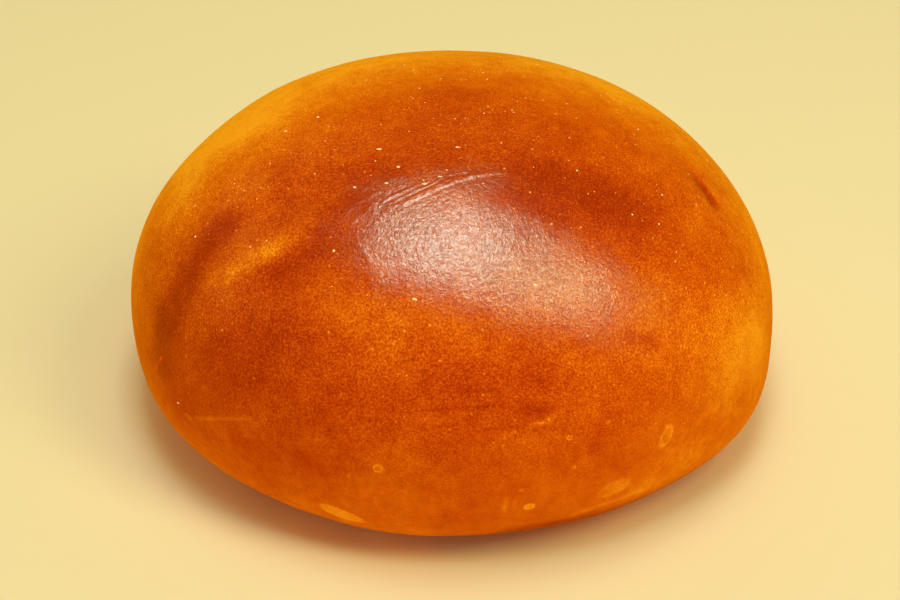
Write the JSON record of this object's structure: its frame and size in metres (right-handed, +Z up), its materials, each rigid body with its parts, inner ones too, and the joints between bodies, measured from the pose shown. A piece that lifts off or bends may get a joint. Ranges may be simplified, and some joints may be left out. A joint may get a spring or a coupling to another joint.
{
  "type": "burger bun",
  "caption": "Whole uncut glazed brioche burger bun: a low domed crust that tucks in to a flat underside.",
  "frame": {"origin": "centre of the bun's box, on the table it stands on", "axes": "+Z up, out of the crown; +X to the right along the longest extent; the side shown in the picture faces -Y"},
  "size_m": [0.1048, 0.098, 0.0541],
  "materials": {
    "crust": "baked brioche crust, glossy with egg glaze on the crown and satin golden round the rim"
  },
  "bodies": {
    "root": {"bun": "crust"}
  },
  "joints": []
}
